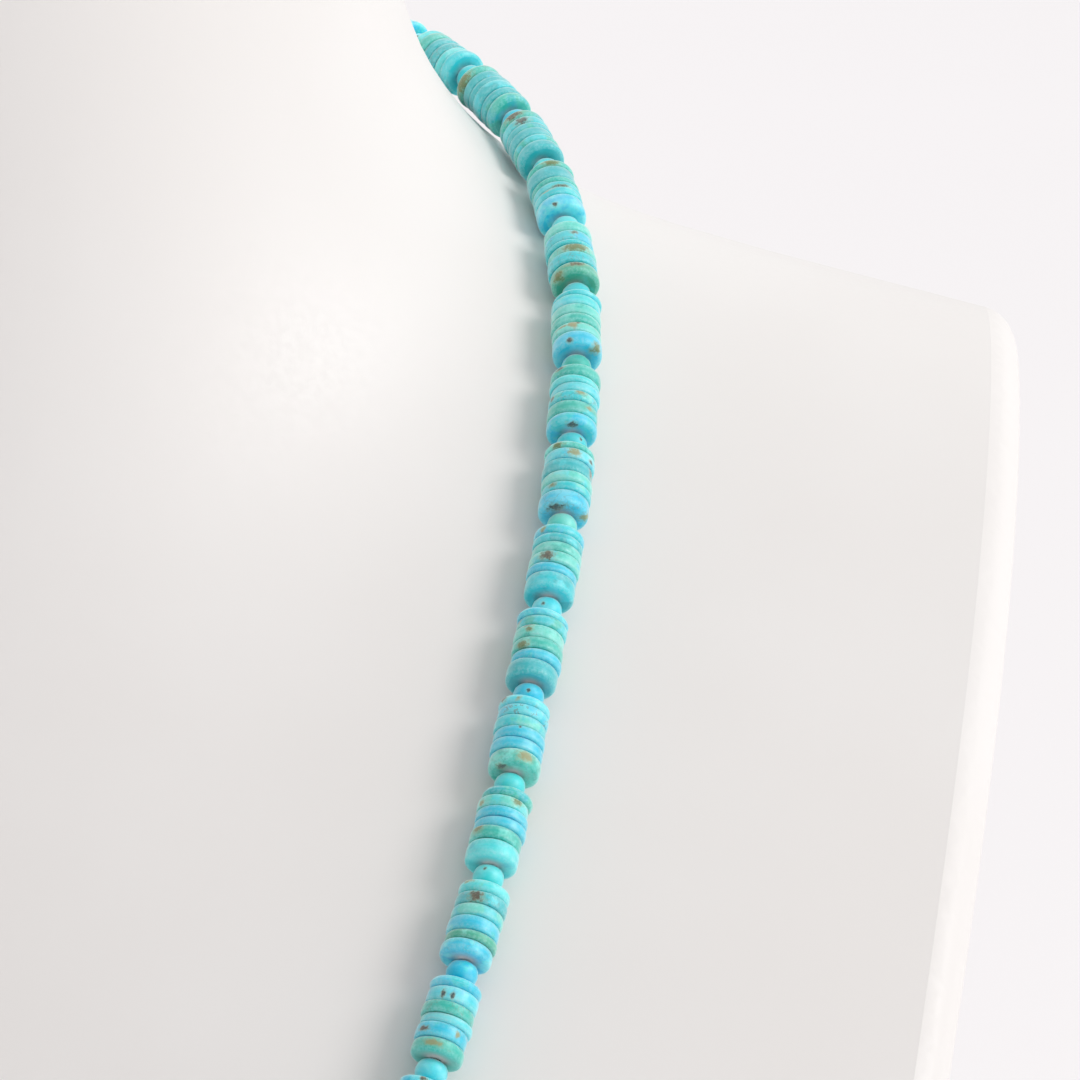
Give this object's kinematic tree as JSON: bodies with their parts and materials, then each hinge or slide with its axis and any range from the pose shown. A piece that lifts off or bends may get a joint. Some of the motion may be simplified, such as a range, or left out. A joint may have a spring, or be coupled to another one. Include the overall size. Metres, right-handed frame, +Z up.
{
  "type": "turquoise bead necklace on neck bust display",
  "caption": "Strung necklace of thin turquoise discs in short stacks with a small tube bead between them, lying round a plain white neck bust that displays it.",
  "frame": {"origin": "on the surface that the bust stands on, below the middle of its shoulders and neck line", "axes": "+Z up, -Y the bust's front, +X towards the bust's own left shoulder, which is on the right in the front view"},
  "size_m": [0.1852, 0.1333, 0.185],
  "materials": {
    "neck_bust": "smooth satin white",
    "turquoise_discs": "polished turquoise, mottled blue to green with brown and black marks",
    "tube_beads": "polished pale turquoise",
    "clasp": "plain silvery metal",
    "thread": "pale twisted thread"
  },
  "bodies": {
    "root": {"neck_bust": "neck_bust", "turquoise_discs": "turquoise_discs", "tube_beads": "tube_beads", "clasp": "clasp", "thread": "thread"}
  },
  "joints": []
}
